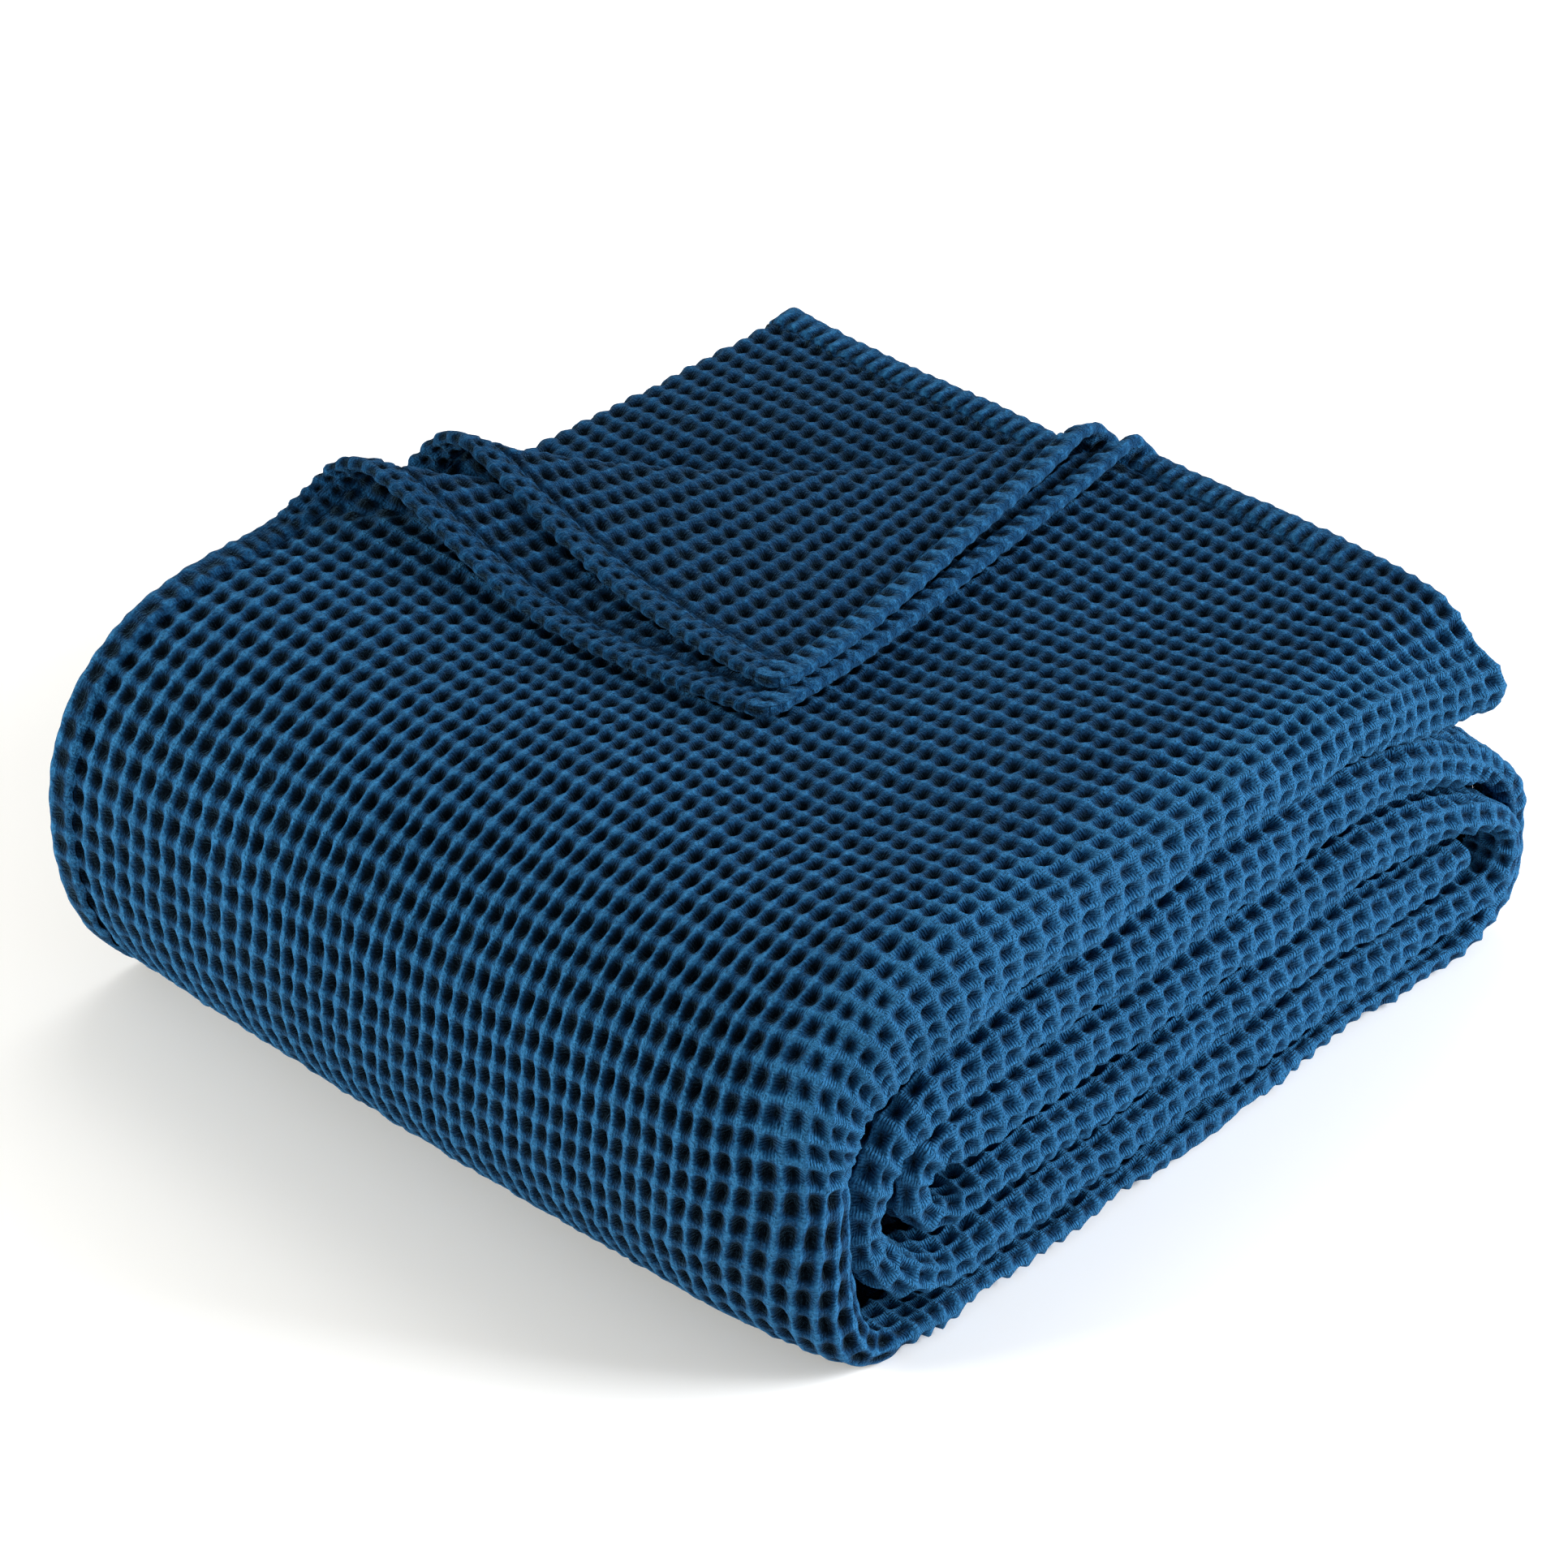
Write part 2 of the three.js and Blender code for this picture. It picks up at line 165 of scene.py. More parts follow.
def along_stations(values, x):
    values = np.asarray(values, float)
    spacing = STATIONS[1] - STATIONS[0]
    station = np.clip((np.asarray(x, float) - STATIONS[0]) / spacing, 0, len(STATIONS) - 1)
    before = np.minimum(len(STATIONS) - 2, np.floor(station)).astype(int)
    return mix(values[before], values[before + 1], ease(station - before))


def thickness(name, x):
    near_end = 0
    if name == "fourth":
        near_end = ease((x - ROLL_END["start"]) / (ROLL_END["x"] - ROLL_END["start"]))
    return mix(along_stations(LENGTHS[name]["thick"], x), ROLL_END["thick"], near_end)


def faces(name, x):
    """Lower and upper face of a length. One that thins to its end stays in the middle of its room."""
    below = ORDER[: ORDER.index(name)]
    floor = CLOTH_HALF - LAYER_ROOM + sum(along_stations(LENGTHS[other]["thick"], x) for other in below)
    spare = along_stations(LENGTHS[name]["thick"], x) - thickness(name, x)
    return floor + spare / 2, floor + spare / 2 + thickness(name, x)


def straight_sample(name, x, outward):
    low, high = faces(name, x)
    front = along_stations(LENGTHS[name]["front"], x)
    return [x, (low + high) / 2, 0, outward * (high - low) / 2, front, 0]


def fold_face(face, start, height, edge, angle):
    """A place on one face of an end fold, from -1 where it leaves the upper length to 1 on the lower."""
    reach, above, beneath = face
    c, s = math.cos(angle * math.pi / 2), abs(math.sin(angle * math.pi / 2))
    power = above if angle < 0 else beneath
    size = (c**power + s**power) ** (-1 / power)
    return start + (reach - start) * c * size, height + (edge - height) * s * size


def fold_sample(fold, upper_name, lower_name, share):
    angle = share * 2 - 1
    name, start = (upper_name, fold["upper"]) if angle < 0 else (lower_name, fold["lower"])
    low, high = faces(name, start)
    out_x, out_z = fold_face(fold["out"], start, fold["height"], high if angle < 0 else low, angle)
    in_x, in_z = fold_face(fold["inn"], start, fold["height"], low if angle < 0 else high, angle)
    in_z -= fold["eye"] * math.sin(math.pi * angle)
    turned = math.cos(angle * math.pi / 2) ** 2
    front = mix(along_stations(LENGTHS[name]["front"], start), fold["front"], turned)
    middle = [(out_x + in_x) / 2, (out_z + in_z) / 2, (out_x - in_x) / 2, (out_z - in_z) / 2]
    return middle + [front, fold["drawn"] * turned]


def lay_out_roll():
    """Distance along the roll, and there its middle, its way outward, half its thickness and its front."""
    samples = []
    start = FLAP_END
    for i, (name, fold_name, turns) in enumerate(ROLL):
        outward = 1 if ORDER.index(name) >= ORDER.index("third") else -1
        fold = FOLDS.get(fold_name)
        end = ROLL_END["x"] if fold is None else fold["upper" if turns == "down" else "lower"]
        count = math.ceil(abs(end - start) / SAMPLE)
        samples += [straight_sample(name, mix(start, end, k / count), outward) for k in range(count)]
        if fold is None:
            samples.append(straight_sample(name, end, outward))
            break
        after = ROLL[i + 1][0]
        upper, lower = (name, after) if turns == "down" else (after, name)
        arc = math.ceil(2 * abs(faces(upper, end)[1] - faces(lower, end)[0]) / SAMPLE)
        for k in range(arc):
            share = k / arc if turns == "down" else 1 - k / arc
            samples.append(fold_sample(fold, upper, lower, share))
        start = fold["lower" if turns == "down" else "upper"]
    table = np.array(samples, float)
    steps = np.hypot(np.diff(table[:, 0]), np.diff(table[:, 1]))
    run = np.concatenate([[0], np.cumsum(steps)])
    half = np.hypot(table[:, 2], table[:, 3])
    table[:, 2] /= half
    table[:, 3] /= half
    columns = dict(zip(["x", "z", "ax", "az", "front", "drawn"], table.T))
    columns["half"] = half
    return run, columns


roll_run, roll_table = lay_out_roll()
ROLL_LENGTH = roll_run[-1]
FLAP_RUN = FLAP_END - FOLDS["outer_left"]["upper"]


def along_roll(run):
    at = {key: np.interp(run, roll_run, column) for key, column in roll_table.items()}
    at["x"] = at["x"] + np.maximum(0, -run)
    return at


def turn_back(x, y, z, layer, fade):
    """Carry the cloth beyond the crease of the turned-back corner over it."""
    t = TURNED[layer]
    lift = np.array([t["side"], t["hem"]], float)
    stop = np.array([FLAP_END, t["end"]], float)
    crease_length = np.hypot(*(stop - lift))
    crease = (stop - lift) / crease_length
    out = np.array([-crease[1], crease[0]])

    def bend_at(along):
        down = np.clip(along / crease_length, 0, 1)
        standing = 1 - ease(down / TALL_SHARE[0])
        taller = t["tall"][0] * standing + t["tall"][1] * (1 - ease((1 - down) / TALL_SHARE[1]))
        bend = mix(t["turn"][1], t["turn"][0], standing)
        return standing, taller, bend, -t["bow"] * np.sin(np.pi * down) - bend

    along = (x - lift[0]) * crease[0] + (y - lift[1]) * crease[1]
    away = (x - lift[0]) * out[0] + (y - lift[1]) * out[1]
    standing, taller, bend, begin = bend_at(along)
    past = away - begin
    lifted = z + fade * t["lift"] * standing * ease(1 + past / LIFT_REACH)
    corner = np.array([FLAP_END, t["hem"]]) - lift
    landed = np.array(t["tip"]) - lift
    _, _, corner_bend, corner_begin = bend_at(corner @ crease)
    pull = (corner_begin - landed @ out) / (corner @ out - corner_begin - np.pi * corner_bend)
    shear = (landed @ crease - corner @ crease) / (corner @ out - corner_begin)
    turning = np.clip(past / bend, 0, np.pi)
    laid = np.maximum(0, past - np.pi * bend)
    shift = bend * np.sin(turning) - laid * pull - past
    slide = shear * past
    over_x = x + out[0] * shift + crease[0] * slide
    over_y = y + out[1] * shift + crease[1] * slide
    flap_top = faces("flap", np.maximum(over_x, FOLDS["outer_left"]["upper"]))[1] - LAYER_ROOM
    over = flap_top + t["rest"] + taller * (1 - ease(laid / DESCENT))
    over_z = mix(lifted, over, (1 - np.cos(turning)) / 2)
    turned = past > 0
    return np.where(turned, over_x, x), np.where(turned, over_y, y), np.where(turned, over_z, lifted), past


def place(run, at, off, y, layer):
    """Middle of the cloth from its offset in a length, with sag, turned corner and unevenness."""
    middle_x = (STATIONS[0] + STATIONS[-1]) / 2
    corner = np.exp(-(((y - at["front"]) / CORNER_REACH) ** 2)) * at["drawn"]
    x = at["x"] + at["ax"] * off - np.sign(at["x"] - middle_x) * corner
    z = at["z"] + at["az"] * off
    to_back = ease((y - FLAP_PRESSED["start"]) / (FLAP_PRESSED["stop"] - FLAP_PRESSED["start"]))
    pressed = FLAP_PRESSED["share"] * to_back * ease(at["x"] / FLAP_DROOP["start"])
    raised = (at["half"] - LAYER_ROOM - off) * pressed
    sag = ease((at["x"] - FLAP_DROOP["start"]) / (FLAP_END - FLAP_DROOP["start"]))
    dropped = FLAP_DROOP["drop"] * sag * np.exp(-((np.maximum(0, y) / FLAP_DROOP["reach"]) ** 2))
    on_flap = run < FLAP_RUN
    z = z + np.where(on_flap, raised - dropped, 0)
    past = np.full(np.shape(z), -np.inf)
    if layer in TURNED:
        tx, ty, tz, tpast = turn_back(x, y, z, layer, ease((FLAP_RUN - run) / FLAP_FADE))
        x, y, z = (np.where(on_flap, new, old) for new, old in ((tx, x), (ty, y), (tz, z)))
        past = np.where(on_flap, tpast, past)
    swell = np.sin(2 * np.pi * x / WAVE["along_x"]) * np.cos(2 * np.pi * y / WAVE["along_y"])
    depth = ease((STATIONS[0] - x) / (STATIONS[0] - FOLDS["outer_left"]["out"][0]))
    bulge = WAVE["bulge"] * depth * np.sin(np.pi * np.clip(y / BACK["top_hem"], 0, 1))
    z = z + WAVE["height"] * swell * z / FOLDS["outer_left"]["height"] / 2
    return np.stack([x - bulge, y, z], axis=-1), past


# Weave: cells between raised ridges, with their real pitch along and across the cloth

PITCH_ALONG = {
    "run": [0, 240, 270, 340, 378, 390, 430, 500],
    "pitch": [9.5, 9.4, 8.4, 7.9, 8.0, 11.2, 12.2, 9.5],
}
PITCH_ACROSS = {"across": [0, 50, 110, 200], "pitch": [7.8, 7.7, 7.1, 6.9]}
PITCH_STEPS = 6000
WIDTH_COUNTED = 1500
CELL_BACK = 6.9  # a cell's width on the two lower layers

# How the weave lies askew. On the flap its lines bend towards the flap's end at the front, at the
# outer left fold they are splayed there, and away from the side hem they are tilted.
LEFT_FACE = 376  # where the roll turns down the outer left fold
BOTTOM_START = 470  # where it has turned in beneath
LEAN = {"full": 150, "fades": 190, "over": 170, "across": 180, "most": 172, "bend": -0.001}
SPLAY = {"across": 325, "most": 30, "share": 0.3}
TILT = {"inward": 110, "level": 162, "flap": 0.06, "fold": 0.14, "most": 70, "fades": 480, "over": 60}

# Where the outer left fold changes the weave, as the start, rise, stop and fall of a share
LEFT_FOLD = {
    "splayed": (LEFT_FACE, 25, BOTTOM_START, 40),
    "turned": (LEFT_FACE - 15, 30, BOTTOM_START, 30),
    "pulled": (210, 140, BOTTOM_START, 30),
}

# Relief
RIDGE = 1.5
PIT = 2.7
DEEPER = 0.2  # where the cloth is pulled long
FRONT_TALLER = 1.25
FULL_ROOM = 8  # the relief is shallower where the layers have less room than this
GROOVE = {"depth": 2.2, "level": 0.62, "from": 330}  # where front folds lie on each other
JITTER = 0.5
CALM = 20  # the cells keep in line near a hem
FLUFF = 0.32
FLUFF_GRAINS = (3.1, 2.7)  # in a cell, along and across
NUDGE = 0.4
UNEVEN = [(61, 47, 0.5), (-83, 29, 0.45), (37, -71, 0.4), (140, 90, 0.5)]  # two lengths and a height
FRONT_START = {"flat": 318, "left": 368}  # where the weave of the front folds begins, across the cloth
FRONT_BLEND = {"flat": 40, "left": 16}

# Hems
HEM = 11.0
HEM_THICK = 4.6
HEM_BLEND = 2
HEM_PIT = 2.2
HEM_LEVEL = 0.85
HEM_FLUFF = 1.1
HEM_PULLED = 0.85  # how much of its pattern a hem loses where the cloth is pulled long
HEM_FLATTENS = {"from": 270, "over": 50}  # the end hem, towards the front corner
HEM_SLOPE = 3
HEM_CORNER = 8
SIDE_RIBS = 1.3  # ribs of a side hem to a cell
STITCHES = {"in": 1, "wide": 1.1, "deep": 0.3}
BARE_EDGE = 0.5  # share of a hem's padding where a layer's edge has no hem
BARE_BENEATH = 1.7  # and beneath it, so that it stays under the pits
FACE_CHANGE = {"before": 6, "over": 8}  # where a turned layer begins to show its other face

# A cell's shape. Its pit is at 0 and its ridges at 1, in height as in distance from its middle. Two
# values are for cloth that lies loose and for cloth that is pulled long, or drawn round a front fold.
RIM_SQUARE = (2.4, 4.0)
RIM_LONG = 0.96
RIDGE_THINNER = {"along": 1.25, "across": 1.3}
WALL = {"share": (0.74, 0.9), "top": 0.82}
KNOB = {"share": (0.26, 0.1), "from": 0.35, "over": 0.95}
BOWL = {"power": 1.5, "straight": 0.6}
SADDLE = {"loose": 0.2, "front": 0.16, "pulled": 0.21, "flank": 1.15}  # ridges between crossings

# The pits of a hem: narrow slots, and short ovals where it is turned over
HEM_PITS = {"middle": 0.56, "length": (0.72, 1.1), "narrow": (1.25, 1), "wall": (0.5, 0.58)}
HEM_RIM = {"power": 2.4, "from": 0.14, "between": 0.78}

# Painted shade that the material reads as lightness: a base, and a gain over the height of the weave, so
# the pits are darkened where shade falls in them. It is lighter on the front folds, where their own relief
# shades the pits, and deepest in the pulled cells of the left fold, whose crests are painted lighter.
PIT_SHADE = {"loose": (0, 0.95), "pulled": (-0.2, 1.22), "front": (0.55, 0.58), "hem": (0.14, 0.72)}
FRONT_TONE = 0.9
END_HEM_LIGHTER = 0.07
OTHER_FACE_DARKER = 0.03


def counted(table, key, reach):
    """Distance at even steps, and the number of cells up to it."""
    steps = np.linspace(0, reach, PITCH_STEPS)
    pitch = np.interp(steps, table[key], table["pitch"])
    cells = np.concatenate([[0], np.cumsum(np.diff(steps) / ((pitch[:-1] + pitch[1:]) / 2))])
    return steps, cells


run_steps, run_cells = counted(PITCH_ALONG, "run", ROLL_LENGTH)
across_steps, across_cells = counted(PITCH_ACROSS, "across", WIDTH_COUNTED)


def run_at(cells):
    inside = np.interp(cells, run_cells, run_steps)
    return inside + PITCH_ALONG["pitch"][0] * np.minimum(0, cells)


def across_at(cells):
    inside = np.interp(cells, across_cells, across_steps)
    return inside + PITCH_ACROSS["pitch"][0] * np.minimum(0, cells)


def cells_run(run):
    return float(np.interp(run, run_steps, run_cells))


def cells_across(across):
    return float(np.interp(across, across_steps, across_cells))


def skewed(run, across):
    """The weave leans and bends a little on the folded cloth, but keeps to its hems."""
    on_flap = np.clip(run / LEAN["full"], 0, 1) * (1 - np.clip((run - LEAN["fades"]) / LEAN["over"], 0, 1))
    leaning = LEAN["bend"] * np.clip(across - LEAN["across"], 0, LEAN["most"]) ** 2 * on_flap
    at_fold = between(run, *LEFT_FOLD["splayed"])
    splayed = SPLAY["share"] * np.clip(across - SPLAY["across"], 0, SPLAY["most"]) * at_fold
    tilt = TILT["flap"] * (np.clip(run, 0, LEFT_FACE) - TILT["level"])
    tilt = tilt - TILT["fold"] * np.clip(run - LEFT_FACE, 0, TILT["most"])
    tilt = tilt * (1 - ease((run - TILT["fades"]) / TILT["over"]))
    return run + leaning + splayed, across + np.clip(across / TILT["inward"], 0, 1) * tilt


# Unevenness of each crossing of the weave: the depth of its pit, the height of its ridge, its fluff
# and how far it is out of place
CROSSINGS = 400
rng = np.random.RandomState(7)
pit_depths = rng.uniform(0.8, 1.15, (CROSSINGS, CROSSINGS))
ridge_heights = rng.uniform(-0.35, 0.35, (CROSSINGS, CROSSINGS))
fluff = rng.uniform(-1, 1, (CROSSINGS, CROSSINGS))
shifts = rng.uniform(-JITTER, JITTER, (2, CROSSINGS, CROSSINGS))


def at_nodes(table, along, across):
    """Values of a table with an entry for each crossing of the weave, eased between crossings."""
    i, j = np.floor(along).astype(int), np.floor(across).astype(int)
    u, v = ease(along - i), ease(across - j)
    near, far = np.mod(i, CROSSINGS), np.mod(i + 1, CROSSINGS)
    here, next_one = np.mod(j, CROSSINGS), np.mod(j + 1, CROSSINGS)
    first = mix(table[near, here], table[near, next_one], v)
    return mix(first, mix(table[far, here], table[far, next_one], v), u)


def saddle(ridge, flank):
    """Where a ridge sags between two crossings: along its top, and least on its flanks."""
    return ease(ridge) ** 2 * (1 - ease(SADDLE["flank"] * flank))


def relief(along, across, front, pulled):
    """Height of the weave from 0 in its cells to 1 on its ridges, for cell coordinates.
    It is soft and round where the cloth lies loose, and sharp and square in the front folds."""
    a = np.abs(2 * np.mod(along, 1) - 1)
    b = np.abs(2 * np.mod(across, 1) - 1)
    a = mix(a, a ** RIDGE_THINNER["along"], pulled)
    b = mix(b, b ** RIDGE_THINNER["across"], pulled)
    q = mix(*RIM_SQUARE, front)
    rim = ((RIM_LONG * a) ** q + b**q) ** (1 / q)
    wall = mix(*WALL["share"], pulled) * ease(rim / WALL["top"])
    loose = wall + mix(*KNOB["share"], pulled) * ease((rim - KNOB["from"]) / KNOB["over"])
    loose = loose - SADDLE["loose"] * (1 - pulled) * saddle(b, a)
    rim = np.minimum(1, rim)
    drawn = mix(1 - (1 - rim) ** BOWL["power"], rim, BOWL["straight"])
    shape = mix(loose, drawn, front) - SADDLE["front"] * front * saddle(b, a)
    return shape - SADDLE["pulled"] * pulled * saddle(a, b)


def hem_relief(edge, cells, turned):
    """Height in a hem: a row of narrow slots between ribs, or two rows of ovals where it is turned over."""
    slot_row = np.abs(edge - HEM * HEM_PITS["middle"]) / (HEM / 2)
    oval_row = np.abs(2 * np.mod(edge * 2 / HEM, 1) - 1)
    u = np.abs(2 * np.mod(cells + 0.5 * turned * (edge > HEM / 2), 1) - 1)
    slot_long, oval_long = HEM_PITS["length"]
    row = mix(slot_long * slot_row, oval_long * oval_row, turned)
    power = HEM_RIM["power"]
    rim = (row**power + (mix(*HEM_PITS["narrow"], turned) * u) ** power) ** (1 / power)
    return ease((rim - HEM_RIM["from"]) / mix(*HEM_PITS["wall"], turned)) * mix(HEM_RIM["between"], 1, u)


def rounded(run, side):
    """Round the corner where two hems meet."""
    from_run, from_side = np.maximum(0, HEM_CORNER - run), np.maximum(0, HEM_CORNER - side)
    far = np.maximum(1e-6, np.hypot(from_run, from_side))
    share = np.where((from_run > 0) & (from_side > 0), np.maximum(from_run, from_side) / far, 1)
    return run + from_run * (1 - share), side + from_side * (1 - share)


def wrapped(distance):
    """Round a hem's edge and back beneath: place from the edge, and the angle turned through."""
    half = HEM_THICK / 2
    turn = np.clip(-distance / half, 0, np.pi)
    beneath = np.maximum(0, -distance - np.pi * half)
    middle = np.where(distance >= 0, distance, beneath)
    return middle - half * np.sin(turn), turn


def unit(vectors):
    return vectors / np.maximum(1e-9, np.linalg.norm(vectors, axis=-1, keepdims=True))


def normals_of(points):
    """Normals of a grid of points, from its own rows and columns."""
    return unit(np.cross(np.gradient(points, axis=0), np.gradient(points, axis=1)))


# Material


def linear(code):
    """An sRGB hex colour as linear RGBA."""
    channels = [int(code[k : k + 2], 16) / 255 for k in (1, 3, 5)]
    return [c / 12.92 if c <= 0.04045 else ((c + 0.055) / 1.055) ** 2.4 for c in channels] + [1]


# Dyed cotton yarn in a waffle weave: matt, with painted shade that makes it lighter on its ridges and
# nearly black down in its cells, with a fuzz of loose fibres and the yarns showing in the walls of the
# cells.
cotton = bpy.data.materials.new("waffle_cotton")
cotton.use_nodes = True
cotton.node_tree.nodes.clear()


def add_node(kind, inputs, **settings):
    """A node with its settings and inputs. An input that is a node is linked from its first output."""
    node = cotton.node_tree.nodes.new(kind)
    for key, value in settings.items():
        setattr(node, key, value)
    for key, value in inputs.items():
        value = value.outputs[0] if isinstance(value, bpy.types.Node) else value
        if isinstance(value, bpy.types.NodeSocket):
            cotton.node_tree.links.new(value, node.inputs[key])
        else:
            node.inputs[key].default_value = value
    return node


# Grains of noise to a metre. Single fibres are too fine to show, so the fuzz is drawn 1.2 mm coarse.
# The clumps are 2 mm, as wide as two yarns, and the patches of wear are 70 mm.
FUZZ, CLUMPS, PATCHES = 850, 480, 14
YARNS = {"X": 9, "Y": 7}  # to a cell, so each is about 1.1 mm wide
YARN_WOBBLE = 6.0
YARN_BUMP = {"loose": 0.05, "front": 0.11}
FUZZ_BUMP = 0.6
BUMP_DEPTH = 0.002  # metres
CLUMP_TONE = 0.35
# The ramp runs from painted shade, nearly black down in the pits, up to the dyed blue of the ridges
DYE_AND_PIT_SHADE_COLOURS = {0.0: "#010204", 0.42: "#020a13", 0.64: "#071e37", 0.84: "#0f3a5f", 1.0: "#2a6592"}

# The "height" attribute carries the painted pit shade, as a lightness
height = add_node("ShaderNodeAttribute", {}, attribute_name="height").outputs["Fac"]
in_front = add_node("ShaderNodeAttribute", {}, attribute_name="drawn").outputs["Fac"]
weave_uv = add_node("ShaderNodeUVMap", {}, uv_map="weave")
objects = add_node("ShaderNodeTexCoord", {}).outputs["Object"]
noise_settings = {
    "fuzz": {"Scale": FUZZ, "Detail": 3, "Roughness": 0.75},
    "clumps": {"Scale": CLUMPS, "Detail": 2, "Roughness": 0.6},
    "patches": {"Scale": PATCHES, "Detail": 2},
}
fuzz, clumps, patches = (
    add_node("ShaderNodeTexNoise", {"Vector": objects, **inputs}).outputs["Fac"]
    for inputs in noise_settings.values()
)

# Yarns run in bands round each cell, and turn where its walls meet
cell = add_node("ShaderNodeSeparateXYZ", {"Vector": weave_uv})
bands, from_rim = {}, {}
for axis, count in YARNS.items():
    turns = 2 * math.pi * count
    phase = add_node("ShaderNodeMath", {0: cell.outputs[axis], 1: turns}, operation="MULTIPLY")
    wobbled = add_node("ShaderNodeMath", {0: clumps, 1: YARN_WOBBLE, 2: phase}, operation="MULTIPLY_ADD")
    bands[axis] = add_node("ShaderNodeMath", {0: wobbled}, operation="SINE")
    from_rim[axis] = add_node("ShaderNodeMath", {0: cell.outputs[axis], 1: 0.5}, operation="PINGPONG")
side_wall = add_node("ShaderNodeMath", {0: from_rim["X"], 1: from_rim["Y"]}, operation="GREATER_THAN")
yarns = add_node(
    "ShaderNodeMix", {"Factor": side_wall, "A": bands["Y"], "B": bands["X"]}, data_type="FLOAT"
)

clumpy = add_node("ShaderNodeMath", {0: clumps, 1: 0.5}, operation="SUBTRACT")
# Painted pit shade, with a random tone from the clumps of yarn
clumps_and_pit_shade = add_node("ShaderNodeMath", {0: clumpy, 1: CLUMP_TONE, 2: height}, operation="MULTIPLY_ADD")
ramp = add_node("ShaderNodeValToRGB", {"Fac": clumps_and_pit_shade})
elements = ramp.color_ramp.elements
for position in list(DYE_AND_PIT_SHADE_COLOURS)[1:-1]:
    elements.new(position)
for element, code in zip(elements, DYE_AND_PIT_SHADE_COLOURS.values()):
    element.color = linear(code)
speckle = add_node(
    "ShaderNodeMapRange",
    {"Value": fuzz, "From Min": 0.32, "From Max": 0.68, "To Min": 0.6, "To Max": 1.4},
)
mottle = add_node("ShaderNodeMapRange", {"Value": patches, "To Min": 0.85, "To Max": 1.15})
tint = add_node("ShaderNodeMath", {0: speckle, 1: mottle}, operation="MULTIPLY")
colour = add_node("ShaderNodeVectorMath", {0: ramp, "Scale": tint}, operation="SCALE")

fibres = add_node("ShaderNodeMath", {0: fuzz, 1: FUZZ_BUMP, 2: clumps}, operation="MULTIPLY_ADD")
ribbed = add_node(
    "ShaderNodeMath", {0: in_front, 1: YARN_BUMP["front"], 2: YARN_BUMP["loose"]}, operation="MULTIPLY_ADD"
)
surface = add_node("ShaderNodeMath", {0: yarns, 1: ribbed, 2: fibres}, operation="MULTIPLY_ADD")
bump = add_node("ShaderNodeBump", {"Strength": 1.0, "Distance": BUMP_DEPTH, "Height": surface})
cloth_shader = add_node(
    "ShaderNodeBsdfPrincipled",
    {
        "Base Color": colour,
        "Roughness": 0.95,
        "IOR": 1.5,
        "Specular IOR Level": 0.08,
        "Specular Tint": (0.4, 0.7, 1, 1),
        "Sheen Weight": 0.15,
        "Sheen Roughness": 0.45,
        "Sheen Tint": (0.25, 0.6, 1, 1),
        "Normal": bump,
    },
)
add_node("ShaderNodeOutputMaterial", {"Surface": cloth_shader})


# Cloth pieces


def hemmed_section(across, hem_y, fold_y, reach):
    """A layer from its hem round its front fold: its offset in the length, and its place across it."""
    to_fold = hem_y - fold_y
    turn = np.clip((across - to_fold) / reach - np.pi / 2, -np.pi / 2, np.pi / 2)
    beyond = np.maximum(0, across - to_fold - np.pi * reach)
    off = np.where(across < to_fold, reach, -reach * np.sin(turn))
    y = np.where(across < to_fold, hem_y - across, fold_y - reach * np.cos(turn) + beyond)
    return off, y


def outer_section(at, across):
    """The outer layer and its front fold, measured from its hem."""
    outer = at["half"] - LAYER_ROOM
    return hemmed_section(across, BACK["top_hem"], at["front"] + outer, outer)


def second_section(at, across):
    """The second layer and its inner front fold, measured from its hem."""
    inner = (at["half"] - LAYER_ROOM) / 3
    return hemmed_section(across, BACK["second_hem"], at["front"] + 5 * inner, inner)


def back_section(at, across):
    """The two lower layers, measured from their back fold: negative on the inside layer."""
    inner = (at["half"] - LAYER_ROOM) / 3
    back_y = BACK["fold"] - inner
    turn = np.clip(across / inner, -np.pi / 2, np.pi / 2)
    beyond = np.maximum(0, np.abs(across) - np.pi * inner / 2)
    return -inner * (2 + np.sin(turn)), back_y + inner * np.cos(turn) - beyond


SECTIONS = {"top": outer_section, "second": second_section, "back": back_section}


def smooth_points(layer, run, side):
    """Middle of the cloth without its weave."""
    at = along_roll(run)
    off, y = SECTIONS[layer](at, side)
    points, past = place(run, at, off, y, layer)
    return points, past, at


def on_layer(layer, along, across):
    """Place along and across a layer for cell coordinates, and how far its edges turn round there."""
    jumps = [at_nodes(table, along, across) for table in shifts]
    if layer == "back":
        run, side = run_at(along), CELL_BACK * across
        calm = np.clip(run / CALM, 0, 1)
        run, end_turn = wrapped(run + calm * jumps[0])
        return np.minimum(run, ROLL_LENGTH - 1), side + calm * jumps[1], end_turn, np.zeros_like(run)
    run, side = skewed(run_at(along), across_at(across))
    calm = np.clip(np.minimum(run, side) / CALM, 0, 1)
    run, end_turn = wrapped(run + calm * jumps[0])
    side, side_turn = wrapped(side + calm * jumps[1])
    run, side = rounded(np.minimum(run, ROLL_LENGTH - 1), side)
    return run, side, end_turn, side_turn


